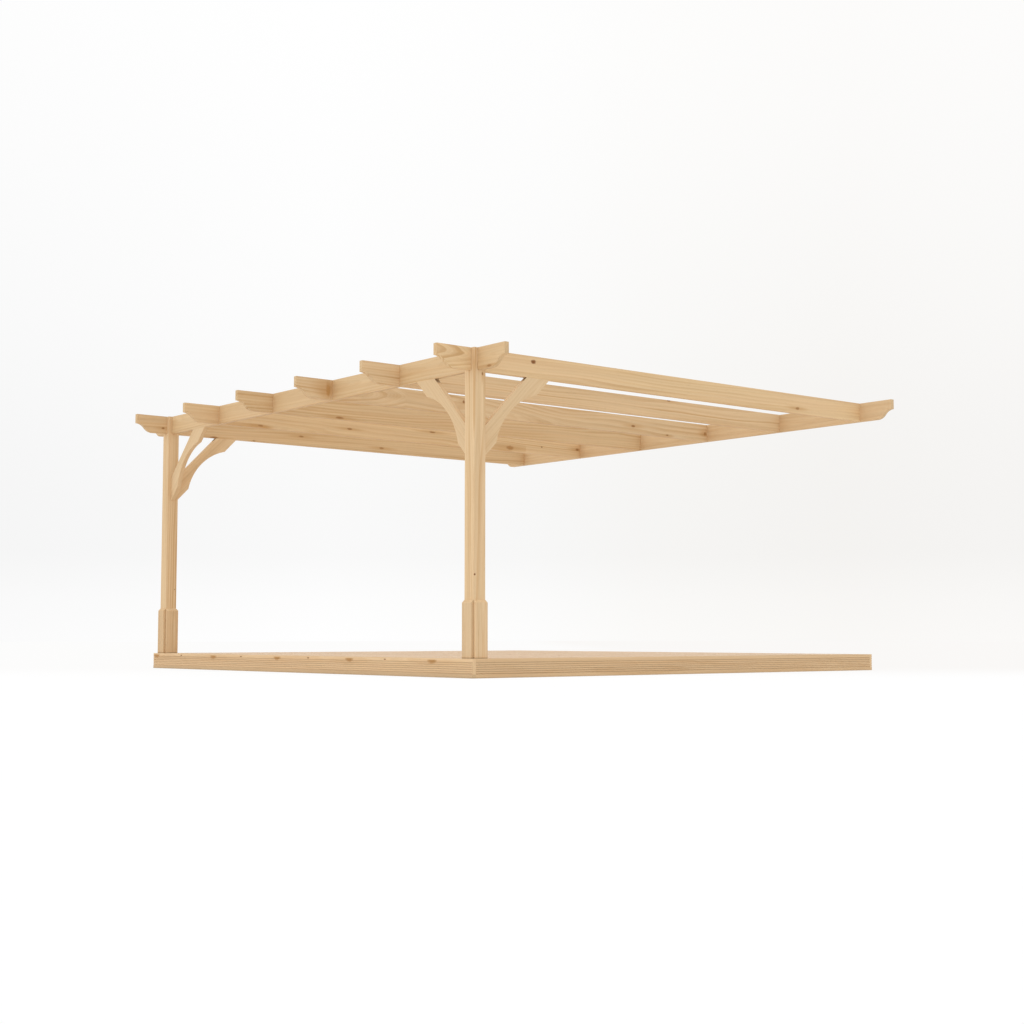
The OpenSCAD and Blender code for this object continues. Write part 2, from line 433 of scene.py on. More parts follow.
    live_halo = times(tree, knot.outputs["Halo"], ramp(tree, shade, *LIVE_SHADES))
    halo_share = times(tree, live_halo, given["Halo Strength"])
    colour = blend(tree, halo_share, scaled.outputs[0], given["Late Wood"])
    ring_place = join(tree, times(tree, nearness, KNOT_RINGS), seed, 0.0)
    knot_rings = noise(tree, ring_place, along=1.6, across=1.0)
    knot_shade = add_up(tree, shade, (knot_rings, KNOT_RING_SHADE))
    colour = blend(tree, core, colour, blend(tree, knot_shade, given["Late Wood"], given["Knot Wood"]))
    rim_share = times(tree, rim, times(tree, shade, KNOT_RIM_SHADE))
    feed(tree, result["Color"], blend(tree, rim_share, colour, given["Knot Wood"]))

    rough = add_up(tree, PINE_ROUGHNESS, (fibre, FIBRE_ROUGHNESS), (late, LATE_ROUGHNESS))
    rough = add_up(tree, rough, (core, KNOT_ROUGHNESS), (end_grain, END_ROUGHNESS))
    feed(tree, result["Roughness"], rough)

    height = add_up(tree, times(tree, fibre, FIBRE_RISE), (late, LATE_RISE), (fine_late, FINE_RISE))
    height = add_up(tree, height, (duct, DUCT_RISE), (rim, KNOT_RIM_RISE))
    feed(tree, result["Height"], height)
    return tree


PINE_GROUP = make_pine_group(make_knot_group())


def make_pine(name, gloss=DULL_GLOSS, **values):
    """Planed pine of one kind, with its own values for some of the group's inputs."""
    material, tree, shader = new_material(name)
    wood = add_node(tree, "ShaderNodeGroup", node_tree=PINE_GROUP)
    for label, value in values.items():
        wood.inputs[label.replace("_", " ").title()].default_value = value
    sockets = {"Strength": BUMP_STRENGTH, "Distance": BUMP_HEIGHT, "Height": wood.outputs["Height"]}
    bump = add_node(tree, "ShaderNodeBump", sockets)
    feed(tree, shader.inputs["Specular IOR Level"], gloss)
    feed(tree, shader.inputs["Base Color"], wood.outputs["Color"])
    feed(tree, shader.inputs["Roughness"], wood.outputs["Roughness"])
    feed(tree, shader.inputs["Normal"], bump.outputs["Normal"])
    return material


FRAME_PINE = make_pine("frame_pine")
WARM_PINE = make_pine(
    "warm_pine",
    early_wood=(0.765, 0.548, 0.312, 1),
    blush=(0.71, 0.485, 0.277, 1),
    ring_strength=0.85,
    band_strength=0.42,
)
END_PINE = make_pine("end_pine", early_wood=(0.808, 0.583, 0.330, 1), blush=(0.75, 0.512, 0.294, 1))
BEAM_PINE = make_pine(
    "beam_pine",
    SATIN_GLOSS,
    early_wood=(0.746, 0.526, 0.288, 1),
    late_wood=(0.52, 0.270, 0.085, 1),
    blush=(0.676, 0.450, 0.240, 1),
    ring_strength=0.85,
    band_strength=0.42,
)
BRACE_PINE = make_pine(
    "brace_pine",
    early_wood=(0.795, 0.582, 0.347, 1),
    blush=(0.76, 0.535, 0.315, 1),
    ring_strength=0.25,
    band_strength=0.20,
)
SLEEVE_PINE = make_pine(
    "sleeve_pine",
    early_wood=(0.775, 0.565, 0.340, 1),
    ring_width=0.012,
    ring_strength=0.7,
    band_strength=0.3,
    end_shade=-0.10,
)
# The floor boards' pine is paler and pinker than the frame's, which partly paints the sheen that their tops
# show at a grazing view
FLOOR_PINE = make_pine(
    "floor_pine",
    SATIN_GLOSS,
    early_wood=(0.808, 0.624, 0.439, 1),
    blush=(0.768, 0.582, 0.428, 1),
    ring_strength=0.5,
    band_strength=0.2,
)
FASCIA_PINE = make_pine(
    "fascia_pine",
    early_wood=(0.785, 0.562, 0.335, 1),
    ring_strength=0.35,
    band_strength=0.20,
    halo_strength=0.15,
    groove_shade=0.18,
    end_shade=-0.03,
)
JOIST_PINE = make_pine(
    "joist_pine",
    early_wood=(0.62, 0.42, 0.24, 1),
    late_wood=(0.42, 0.23, 0.10, 1),
    blush=(0.60, 0.40, 0.25, 1),
)

# Screw steel
STEEL = (0.62, 0.61, 0.59, 1)
GRIMY_STEEL = (0.36, 0.34, 0.31, 1)
GRIME_RANGE = (-0.4, 0.5)
STEEL_ROUGHNESS = 0.42
TURNING_ROUGHNESS = 0.12


def make_screw_steel():
    """Dull stainless steel with turning marks and a little grime."""
    material, tree, shader = new_material("screw_steel")
    place = add_node(tree, "ShaderNodeTexCoord").outputs["Object"]
    grime = noise(tree, place, along=240.0, across=240.0)
    turning = noise(tree, place, along=1600.0, across=1600.0, detail=1.0)
    feed(tree, shader.inputs["Metallic"], 1.0)
    feed(tree, shader.inputs["Base Color"], blend(tree, ramp(tree, grime, *GRIME_RANGE), GRIMY_STEEL, STEEL))
    feed(tree, shader.inputs["Roughness"], add_up(tree, STEEL_ROUGHNESS, (turning, TURNING_ROUGHNESS)))
    return material


SCREW_STEEL = make_screw_steel()


# Timber pieces


def merged_copy(node):
    """A copy of a CAD node with its loose triangles joined into whole faces."""
    shape = bmesh.new()
    shape.from_mesh(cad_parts[node].data)
    bmesh.ops.remove_doubles(shape, verts=shape.verts, dist=MERGE_DISTANCE)
    bmesh.ops.dissolve_limit(shape, angle_limit=FLAT_ANGLE, verts=shape.verts, edges=shape.edges)
    return shape


def cut_across(shape, axis, places):
    """Loops across a shape at places along an axis."""
    for place in places:
        bmesh.ops.bisect_plane(
            shape,
            geom=shape.verts[:] + shape.edges[:] + shape.faces[:],
            plane_co=axis * place,
            plane_no=axis,
            dist=MERGE_DISTANCE,
        )


def weigh_edges(shape, axis):
    """Long planed arrises are rounded in full, and sawn edges only a little."""
    weights = shape.edges.layers.float.new("bevel_weight_edge")
    for edge in shape.edges:
        if len(edge.link_faces) != 2 or not edge.is_convex or edge.calc_face_angle() < SHARP_ANGLE:
            continue
        direction = (edge.verts[1].co - edge.verts[0].co).normalized()
        edge[weights] = 1.0 if abs(direction.dot(axis)) > LENGTHWAYS else CUT_EDGE_SHARE


def plain_mesh(piece):
    """Turns a piece with modifiers into a plain mesh."""
    evaluated = piece.evaluated_get(bpy.context.evaluated_depsgraph_get())
    finished = bpy.data.meshes.new_from_object(evaluated)
    piece.modifiers.clear()
    rough = piece.data
    piece.data = finished
    bpy.data.meshes.remove(rough)
    finished.name = piece.name


def link_piece(name, data):
    piece = bpy.data.objects.new(name, data)
    bpy.context.scene.collection.objects.link(piece)
    return piece


def rounded_piece(name, shape, arris, material):
    """A piece with rounded arrises, whose rounded faces are marked by a second material slot."""
    mesh = bpy.data.meshes.new(name)
    shape.to_mesh(mesh)
    shape.free()
    mesh.materials.append(material)
    mesh.materials.append(material)
    mesh.shade_smooth()
    mesh.set_sharp_from_angle(angle=SHARP_ANGLE)
    piece = link_piece(name, mesh)
    rounding = piece.modifiers.new("rounding", "BEVEL")
    rounding.limit_method = "WEIGHT"
    rounding.width = arris
    rounding.segments = ARRIS_STEPS
    rounding.harden_normals = True
    rounding.material = 1
    plain_mesh(piece)
    return piece


def islands(mesh):
    """For each vertex, the lowest vertex number of the solid that it belongs to."""
    ends = np.zeros(2 * len(mesh.edges), int)
    mesh.edges.foreach_get("vertices", ends)
    first = ends[0::2]
    second = ends[1::2]
    label = np.arange(len(mesh.vertices))
    while True:
        before = label.copy()
        lowest = np.minimum(label[first], label[second])
        np.minimum.at(label, first, lowest)
        np.minimum.at(label, second, lowest)
        if np.array_equal(before, label):
            return label


def read_vectors(elements, field):
    values = np.zeros(3 * len(elements))
    elements.foreach_get(field, values)
    return values.reshape(-1, 3)


def write_attribute(mesh, name, kind, domain, field, values):
    written = mesh.attributes.new(name, kind, domain)
    written.data.foreach_set(field, np.ascontiguousarray(values, np.float32).ravel())


class Cut:
    """How a timber was cut from its log: its directions, its pith, its seed and the knots along it.

    A knot has a place, a radius, a darkness and a length for its width. With a spacing, seeded knots come
    out on one side. Faces above knot_top show none.
    A shade is a strip that is painted darker or paler, mostly as painted shade and painted light: the way it
    faces, or None, two heights and its darkness.
    The slope is how far the grain runs off to both sides for each metre. A bend is a place along the
    timber and how far the pith has moved to both sides there, and the bends are given in order.
    """

    tint = 0.0
    knots = ()
    spacing = 0.0
    knot_side = 0.0
    knot_size = 0.010
    knot_top = None
    shades = ()
    slope = (0.0, 0.0)
    bends = ()

    def __init__(self, axis, across, pith, seed, **others):
        self.axis = axis.normalized()
        self.across = across.normalized()
        self.deep = self.axis.cross(self.across)
        self.pith = pith
        self.seed = seed
        for name, value in others.items():
            setattr(self, name, value)

    def grain_of(self, places, centre):
        """Distance along the timber, and the two distances from its pith."""
        along = places @ np.array(self.axis)
        run = (places - centre) @ np.array(self.axis)
        across = (places - centre) @ np.array(self.across) - self.pith[0] + self.slope[0] * run
        deep = (places - centre) @ np.array(self.deep) - self.pith[1] + self.slope[1] * run
        if self.bends:
            bend_places, aside, down = zip(*self.bends)
            across = across + np.interp(along, bend_places, aside)
            deep = deep + np.interp(along, bend_places, down)
        return np.stack([along, across, deep], axis=-1)

    def all_knots(self, low, high, centre, seed):
        """The knots that are given, and between them the seeded ones."""
        found = []
        for place, radius, shade, length in self.knots:
            along, across, deep = self.grain_of(np.array(place), np.array(centre))
            slant = abs(across) / math.hypot(across, deep)
            found.append((along, across, deep, radius * slant, shade, length / slant))
        dice = random.Random(seed)
        place = low + dice.uniform(*FIRST_KNOT) * self.spacing
        while self.spacing > 0 and place < high - KNOT_SPACE / 2:
            angle = self.knot_side + dice.uniform(*KNOT_TURNS)
            radius = self.knot_size * dice.uniform(*KNOT_SIZES)
            if all(abs(place - other[0]) > KNOT_SPACE for other in found):
                outward = (KNOT_REACH * math.cos(angle), KNOT_REACH * math.sin(angle))
                found.append((place, *outward, radius, dice.uniform(*KNOT_SHADES), KNOT_LENGTH))
            place += self.spacing * dice.uniform(*KNOT_STEPS)
        return sorted(found)


def cuts_between(knots):
    """Places halfway between the knots along a timber."""
    return [(near[0] + far[0]) / 2 for near, far in zip(knots, knots[1:])]


def hollow_faces(places, normals, middles, grooved):
    """One for each face that lies in a groove of the side that is named by its direction."""
    if grooved is None:
        return 0.0
    facing = np.array(grooved)
    depth = (places @ facing).max() - middles @ facing
    return (depth > SHALLOWEST_GROOVE) & (depth < DEEPEST_GROOVE) & (normals @ facing > GROOVE_FACING)


def shade_faces(normals, heights, shades):
    """The painted darkness of each face, where a later strip goes over an earlier one."""
    darkness = np.zeros(len(heights))
    for facing_way, bottom, top, strip_darkness in shades:
        chosen = (heights > bottom) & (heights < top)
        if facing_way is not None:
            chosen &= normals @ np.array(facing_way.normalized()) > FACING
        darkness[chosen] = strip_darkness
    return darkness


def mark_wood(mesh, cut, material, grooved=None):
    """Writes what the wood reads: the grain, the timber's own values, the nearest knot and the marks."""
    places = read_vectors(mesh.vertices, "co")
    normals = read_vectors(mesh.polygons, "normal")
    middles = read_vectors(mesh.polygons, "center")
    heights = middles[:, 2]
    along = middles @ np.array(cut.axis)
    facing = np.abs(normals @ np.array(cut.axis))
    face_count = len(mesh.polygons)
    rounded = np.zeros(face_count, int)
    mesh.polygons.foreach_get("material_index", rounded)
    label = islands(mesh)
    face_label = label[[polygon.vertices[0] for polygon in mesh.polygons]]

    grain = np.zeros_like(places)
    seeds = np.zeros(face_count)
    tints = np.zeros(face_count)
    nearest = np.zeros((face_count, 4))
    knot_shades = np.zeros(face_count)
    knot_lengths = np.full(face_count, KNOT_LENGTH)
    for number, island in enumerate(np.unique(label)):
        mine = label == island
        faces = face_label == island
        centre = (places[mine].min(0) + places[mine].max(0)) / 2
        grain[mine] = cut.grain_of(places[mine], centre)
        seed = cut.seed + number
        seeds[faces] = seed
        tints[faces] = cut.tint + random.Random(seed).uniform(-TINT_SPREAD, TINT_SPREAD)
        ends = grain[mine][:, 0]
        knots = cut.all_knots(ends.min(), ends.max(), centre, seed)
        if knots:
            section = np.searchsorted(np.array(cuts_between(knots)), along[faces])
            table = np.array(knots)[section]
            nearest[faces] = table[:, :4]
            knot_shades[faces] = table[:, 4]
            knot_lengths[faces] = table[:, 5]
    if cut.knot_top is not None:
        nearest[heights > cut.knot_top] = 0.0

    end_grain = np.clip((facing - END_GRAIN_START) / END_GRAIN_RANGE, 0, 1)
    hollow = np.zeros(face_count) + hollow_faces(places, normals, middles, grooved)
    strips = shade_faces(normals, heights, cut.shades)
    timber = np.stack([seeds, tints, end_grain, rounded], axis=-1)
    marks = np.stack([knot_shades, hollow, strips, knot_lengths], axis=-1)
    write_attribute(mesh, "grain", "FLOAT_VECTOR", "POINT", "vector", grain)
    for name, values in (("timber", timber), ("knot", nearest), ("marks", marks)):
        write_attribute(mesh, name, "FLOAT_COLOR", "FACE", "color", values)
    mesh.materials.clear()
    mesh.materials.append(material)
    mesh.polygons.foreach_set("material_index", np.zeros(face_count, np.int32))


def keep_piece(piece, node):
    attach(piece, BODY)
    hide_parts(node)


def timber_piece(node, cut, material, arris=PLANED_ARRIS, grooved=None):
    corners = np.array(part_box(node))
    ends = corners @ np.array(cut.axis)
    knots = cut.all_knots(ends.min(), ends.max(), corners.mean(0), cut.seed)
    levels = [cut.knot_top] + [level for shade in cut.shades for level in shade[1:3]]
    shape = merged_copy(node)
    cut_across(shape, cut.axis, cuts_between(knots))
    cut_across(shape, cut.axis, [bend[0] for bend in cut.bends])
    cut_across(shape, ALONG_Z, [level for level in levels if level is not None])
    weigh_edges(shape, cut.axis)
    piece = rounded_piece(f"{node}_wood", shape, arris, material)
    mark_wood(piece.data, cut, material, grooved)
    keep_piece(piece, node)


# Roof frame


def knot(place, height, radius, shade, length=LONG_KNOT_LENGTH):
    """A knot on a timber's seen side: its place along the timber, its height, size, darkness and stretch."""
    return place, height, radius, shade, length


# Each rafter's wood, tint, pith and slope of the grain, from left to right
RAFTERS = (
    (WARM_PINE, 0.0, (-0.050, -0.085), (0.006, 0.010)),
    (WARM_PINE, 0.0, (-0.066, 0.090), (0.004, -0.012)),
    (WARM_PINE, 0.0, (-0.046, -0.095), (0.010, 0.006)),
    (FRAME_PINE, 0.0, (-0.060, 0.085), (-0.006, 0.011)),
    (FRAME_PINE, -0.01, (-0.052, -0.090), (0.005, -0.010)),
    (END_PINE, 0.0, (-0.058, 0.100), (-0.007, 0.009)),
)
RAFTER_KNOTS = {
    1: [
        knot(-1.864, 2.000, 0.0075, 0.6, KNOT_LENGTH),
        knot(-1.383, 1.959, 0.0090, 0.55, TAIL_KNOT_LENGTH),
        knot(-0.996, 1.960, 0.0045, 0.6),
        knot(-0.516, 2.038, 0.0075, 0.40),
        knot(0.352, 1.998, 0.0085, 0.35),
    ],
    2: [
        knot(-1.414, 1.973, 0.0075, 0.40),
        knot(-0.550, 2.017, 0.0080, 0.45),
        knot(0.320, 2.060, 0.0075, 0.45, TAIL_KNOT_LENGTH),
        knot(1.206, 1.987, 0.0185, 0.25, OVAL_KNOT_LENGTH),
        knot(1.589, 2.024, 0.0055, 0.8, KNOT_LENGTH),
        knot(2.030, 2.031, 0.0110, 0.5, KNOT_LENGTH),
    ],
    3: [knot(-1.195, 1.969, 0.0085, 0.45, TAIL_KNOT_LENGTH)],
    4: [
        knot(-1.832, 2.016, 0.048, 0.03, SPIKE_KNOT_LENGTH),
        knot(-0.609, 2.053, 0.0110, 0.65, TALL_KNOT_LENGTH),
        knot(1.180, 2.016, 0.0095, 0.55, OVAL_KNOT_LENGTH),
        knot(1.580, 1.972, 0.0060, 0.6, OVAL_KNOT_LENGTH),
        knot(2.040, 2.020, 0.0140, 0.35, TALL_KNOT_LENGTH),
    ],
    5: [knot(0.769, 2.095, 0.0055, 0.5)],
    6: [
        knot(-1.309, 2.062, 0.0120, 0.95, KNOT_LENGTH),
        knot(1.318, 1.992, 0.0090, 0.45, OVAL_KNOT_LENGTH),
    ],
}

# Where the pith comes close to the seen face, so that the rings run out in arches
RAFTER_BENDS = {
    4: [(-1.83, 0.0, 0.0), (-1.75, -0.06, 0.10), (-1.15, 0.02, 0.10), (0.40, 0.06, 0.0)],
    6: [(-2.10, -0.040, 0.155), (-1.83, -0.004, 0.155), (-1.73, 0.0, 0.0)],
}

PLATE_TINT = -0.04

# The one knot on the beam's face, at its right tail
BEAM_KNOT_X = 2.243
BEAM_KNOT_HEIGHT = 1.968
BEAM_KNOT_RADIUS = 0.0075
BEAM_KNOT_SHADE = 0.40


def dress_roof():
    for number, (wood, tint, pith, slope) in enumerate(RAFTERS, 1):
        node = f"rafter_{number}"
        seen_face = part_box(node)[1].x
        cut = Cut(
            ALONG_Y,
            ALONG_X,
            pith,
            seed=number,
            tint=tint,
            knots=[((seen_face, y, z), *values) for y, z, *values in RAFTER_KNOTS[number]],
            slope=slope,
            bends=RAFTER_BENDS.get(number, ()),
        )
        timber_piece(node, cut, wood)
    knot_place = (BEAM_KNOT_X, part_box("front_beam")[0].y, BEAM_KNOT_HEIGHT)
    beam_cut = Cut(
        ALONG_X,
        ALONG_Y,
        pith=(0.060, 0.025),
        seed=11,
        knots=[(knot_place, BEAM_KNOT_RADIUS, BEAM_KNOT_SHADE, LONG_KNOT_LENGTH)],
        slope=(0.005, 0.008),
    )
    timber_piece("front_beam", beam_cut, BEAM_PINE)
    plate_cut = Cut(ALONG_X, ALONG_Y, pith=(0.058, -0.030), seed=12, tint=PLATE_TINT, slope=(0.004, -0.008))
    timber_piece("wall_plate", plate_cut, FRAME_PINE)


# The far, left post is painted a little paler, as painted light
POST_PAINTED_LIGHT = {"left": 0.02, "right": 0.0}
POST_KNOTS = [
    knot(-1.758, 1.933, 0.006, 0.5, KNOT_LENGTH),
    knot(-1.8185, 0.652, 0.0070, 1.0, TALL_KNOT_LENGTH),
]
# A thin dark line along the bottom of each sleeve board is painted shade where it stands on the deck
SLEEVE_FOOT = 0.006
SLEEVE_FOOT_PAINTED_SHADE = 1.0
SLEEVE_TINT = {"front": -0.03, "back": 0.0, "inner": -0.04, "outer": 0.04}
# The braces' upper faces are painted paler as painted light, and their heads darker as painted shade in the
# corner under the timber above
BRACE_HEAD = 0.026
BRACE_HEAD_PAINTED_SHADE = 1.35
BRACE_TOP_PAINTED_LIGHT = -0.10


def dress_brace(node, axis, upward, across, pith, seed):
    """A brace with painted light on its upper face, and painted shade in the corner under the timber it
    props.
    """
    low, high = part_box(node)
    shades = [
        (upward, low.z, high.z, BRACE_TOP_PAINTED_LIGHT),
        (upward, high.z - BRACE_HEAD, high.z, BRACE_HEAD_PAINTED_SHADE),
    ]
    timber_piece(node, Cut(axis, across, pith, seed, shades=shades), BRACE_PINE)


def dress_posts():
    for number, side in enumerate(SIDES):
        inward = 1 if side == "left" else -1
        post_low, post_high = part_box(f"{side}_post")
        outer_x = post_high.x if side == "right" else post_low.x
        post_cut = Cut(
            ALONG_Z,
            ALONG_X,
            pith=(0.120 * inward, 0.085),
            seed=21 + number,
            tint=POST_PAINTED_LIGHT[side],
            knots=[((outer_x, y, z), *values) for y, z, *values in POST_KNOTS],
            slope=(0.006, -0.004),
        )
        timber_piece(f"{side}_post", post_cut, FRAME_PINE)
        rising = Vector((inward, 0, 1))
        upward = Vector((-inward, 0, 1))
        dress_brace(f"{side}_beam_brace", rising, upward, ALONG_Y, pith=(0.060, 0.030), seed=31 + number)
        rising = Vector((0, 1, 1))
        upward = Vector((0, -1, 1))
        dress_brace(f"{side}_rafter_brace", rising, upward, ALONG_X, pith=(-0.060, -0.025), seed=41 + number)
        for place, (face, tint) in enumerate(SLEEVE_TINT.items()):
            board = f"{side}_sleeve_{face}"
            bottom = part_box(board)[0].z
            sleeve_cut = Cut(
                ALONG_Z,
                ALONG_Y if face in ("front", "back") else ALONG_X,
                pith=(0.040, 0.018),
                seed=51 + len(SLEEVE_TINT) * number + place,
                tint=tint,
                shades=[(None, bottom, bottom + SLEEVE_FOOT, SLEEVE_FOOT_PAINTED_SHADE)],
            )
            timber_piece(board, sleeve_cut, SLEEVE_PINE, SAWN_ARRIS)


# Deck edge

# Large knots of which only the lower half shows, as moons, and small dark ones between them
FASCIA_KNOT_STEP = 0.9615
MOONS = 5
MOON_START = -2.107
MOON_HEIGHT = 0.1125
MOON_RADIUS = 0.029
MOON_SHADE = 0.15
DOTS = 4
DOT_START = -1.676
DOT_HEIGHT = 0.112
DOT_RADIUS = 0.0075
DOT_SHADE = 1.0

# The lowest strip of the boards is darker, and darkest along the bottom edge, where painted shade stands in
# for the shadow against the ground
FASCIA_STRIP = 0.0245
FASCIA_FOOT = 0.008
FRONT_STRIP_SHADE = 0.5
FRONT_FOOT_SHADE = 0.85
SIDE_STRIP_SHADE = 0.03
SIDE_FOOT_SHADE = 0.40
FASCIA_FRONT_TINT = 0.03
FASCIA_SIDE_TINT = {"left": 0.0, "right": 0.03}

# How far apart the seeded knots are, or 0 for none
BACK_KNOT_SPACING = 1.3
SIDE_KNOT_SPACING = {"left": 1.4, "right": 0.0}
RIM_KNOT_SPACING = 0.9

RIM_PITH = (0.040, 0.020)


def knot_row(count, start, height, radius, shade):
    """Knots on the front board's face, one knot step apart."""
    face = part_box("front_fascia")[0].y
    places = [(start + number * FASCIA_KNOT_STEP, face, height) for number in range(count)]
    return [(place, radius, shade, KNOT_LENGTH) for place in places]


def foot_shades(strip_shade, foot_shade):
    return [(None, 0.0, FASCIA_STRIP, strip_shade), (None, 0.0, FASCIA_FOOT, foot_shade)]


def dress_deck_edge():
    moons = knot_row(MOONS, MOON_START, MOON_HEIGHT, MOON_RADIUS, MOON_SHADE)
    dots = knot_row(DOTS, DOT_START, DOT_HEIGHT, DOT_RADIUS, DOT_SHADE)
    front_cut = Cut(
        ALONG_X,
        ALONG_Y,
        pith=(0.050, 0.035),
        seed=71,
        tint=FASCIA_FRONT_TINT,
        knots=moons + dots,
        knot_top=MOON_HEIGHT,
        shades=foot_shades(FRONT_STRIP_SHADE, FRONT_FOOT_SHADE),
    )
    timber_piece("front_fascia", front_cut, FASCIA_PINE, GROOVED_ARRIS, -ALONG_Y)
    back_cut = Cut(ALONG_X, ALONG_Y, pith=(-0.050, 0.020), seed=74, spacing=BACK_KNOT_SPACING)
    timber_piece("back_fascia", back_cut, FASCIA_PINE, GROOVED_ARRIS, ALONG_Y)
    for number, side in enumerate(SIDES):
        outward = -1 if side == "left" else 1
        side_cut = Cut(
            ALONG_Y,
            ALONG_X,
            pith=(-0.050 * outward, 0.030),
            seed=72 + number,
            spacing=SIDE_KNOT_SPACING[side],
            knot_side=math.pi,
            tint=FASCIA_SIDE_TINT[side],
            shades=foot_shades(SIDE_STRIP_SHADE, SIDE_FOOT_SHADE),
        )
        timber_piece(
            f"{side}_fascia", side_cut, FASCIA_PINE, GROOVED_ARRIS, outward * ALONG_X
        )
        rim_cut = Cut(ALONG_Y, ALONG_X, RIM_PITH, seed=76 + number, spacing=RIM_KNOT_SPACING)
        timber_piece(f"{side}_rim", rim_cut, JOIST_PINE, SAWN_ARRIS)
    for number, place in enumerate(("front", "back")):
        rim_cut = Cut(ALONG_X, ALONG_Y, RIM_PITH, seed=78 + number, spacing=RIM_KNOT_SPACING)
        timber_piece(f"{place}_rim", rim_cut, JOIST_PINE, SAWN_ARRIS)
    joist_cut = Cut(ALONG_Y, ALONG_X, pith=(0.050, 0.020), seed=81)
    timber_piece("deck_joists", joist_cut, JOIST_PINE)


# Deck floor


def board_profile(thickness):
    """Corners of a floor board's end, from its lower front corner round to its lower back one."""
    half = BOARD_WIDTH / 2
    arris = [
        (-half + BOARD_ARRIS, 0.0),
        (-half, BOARD_ARRIS),
        (-half, thickness - BOARD_ARRIS),
        (-half + BOARD_ARRIS_BULGE, thickness - BOARD_ARRIS_BULGE),
        (-half + BOARD_ARRIS, thickness),
    ]
    points = list(arris)
    first = -(BOARD_GROOVES - 1) / 2 * BOARD_GROOVE_PITCH
    for number in range(BOARD_GROOVES):
        middle = first + number * BOARD_GROOVE_PITCH
        points.append((middle - BOARD_GROOVE_WIDTH / 2, thickness))
        points.append((middle - BOARD_GROOVE_FLOOR / 2, thickness - BOARD_GROOVE_DEPTH))
        points.append((middle + BOARD_GROOVE_FLOOR / 2, thickness - BOARD_GROOVE_DEPTH))
        points.append((middle + BOARD_GROOVE_WIDTH / 2, thickness))
    points.extend((-y, z) for y, z in reversed(arris))
    return points


def board_mesh(low, high):
    """One floor board along X, in the place of the first one."""
    shape = bmesh.new()
    profile = board_profile(high.z - low.z)
    middle = low.y + BOARD_WIDTH / 2
    loops = []
    for step in range(BOARD_SECTIONS + 1):
        x = low.x + (high.x - low.x) * step / BOARD_SECTIONS
        loops.append([shape.verts.new((x, middle + y, low.z + z)) for y, z in profile])
    for near, far in zip(loops, loops[1:]):
        for index in range(len(profile)):
            following = (index + 1) % len(profile)
            shape.faces.new((near[index], near[following], far[following], far[index]))
    shape.faces.new(loops[0])
    shape.faces.new(reversed(loops[-1]))
    bmesh.ops.recalc_face_normals(shape, faces=shape.faces)
    mesh = bpy.data.meshes.new("floor_board")
    shape.to_mesh(mesh)
    shape.free()
    return mesh


def finish_tree(tree, geometry, material, result):
    """Ends a Geometry Nodes tree with real meshes of one material."""
    solid = add_node(tree, "GeometryNodeRealizeInstances", {"Geometry": geometry})
    sockets = {"Geometry": solid.outputs["Geometry"], "Material": material}
    painted = add_node(tree, "GeometryNodeSetMaterial", sockets)
    feed(tree, result, painted.outputs["Geometry"])


def make_board_tree():
    """Repeats one board across the deck, and lets the first one fit round the posts."""
    tree, given, result = new_group(
        "floor_boards",
        "GeometryNodeTree",
        [
            ("Board", GEOMETRY),
            ("Boards", WHOLE, BOARD_COUNT),
            ("Pitch", FLOAT, BOARD_WIDTH),
            ("Hole Size", VECTOR),
            ("Left Post", VECTOR),
            ("Right Post", VECTOR),
            ("Wood", MATERIAL),
        ],
        [("Boards", GEOMETRY)],
    )
    step = join(tree, 0.0, given["Pitch"], 0.0)
    others = minus(tree, given["Boards"], 1.0)
    sockets = {"Count": others, "Start Location": step, "Offset": step}
    row = add_node(tree, "GeometryNodeMeshLine", sockets, mode="OFFSET")
    sockets = {"Points": row.outputs["Mesh"], "Instance": given["Board"]}
    copies = add_node(tree, "GeometryNodeInstanceOnPoints", sockets)
    fitted = add_node(
        tree, "GeometryNodeMeshBoolean", {"Mesh 1": given["Board"]}, operation="DIFFERENCE", solver="EXACT"
    )
    for post in ("Left Post", "Right Post"):
        hole = add_node(tree, "GeometryNodeMeshCube", {"Size": given["Hole Size"]})
        sockets = {"Geometry": hole.outputs["Mesh"], "Translation": given[post]}
        placed = add_node(tree, "GeometryNodeTransform", sockets)
        feed(tree, fitted.inputs["Mesh 2"], placed.outputs["Geometry"])
    together = add_node(tree, "GeometryNodeJoinGeometry")
    feed(tree, together.inputs[0], copies.outputs["Instances"])
    feed(tree, together.inputs[0], fitted.outputs["Mesh"])
    finish_tree(tree, together.outputs[0], given["Wood"], result["Boards"])
    return tree


def grow_by_nodes(piece, tree, values):
    """Runs a Geometry Nodes tree on a piece, with values for its inputs, and keeps its mesh."""
    modifier = piece.modifiers.new(tree.name, "NODES")
    modifier.node_group = tree
    for item in tree.interface.items_tree:
        if item.item_type == "SOCKET" and item.in_out == "INPUT" and item.name in values:
            modifier[item.identifier] = values[item.name]
    plain_mesh(piece)


def post_middle(side, z):
    low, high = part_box(f"{side}_post")
    return ((low.x + high.x) / 2, (low.y + high.y) / 2, z)


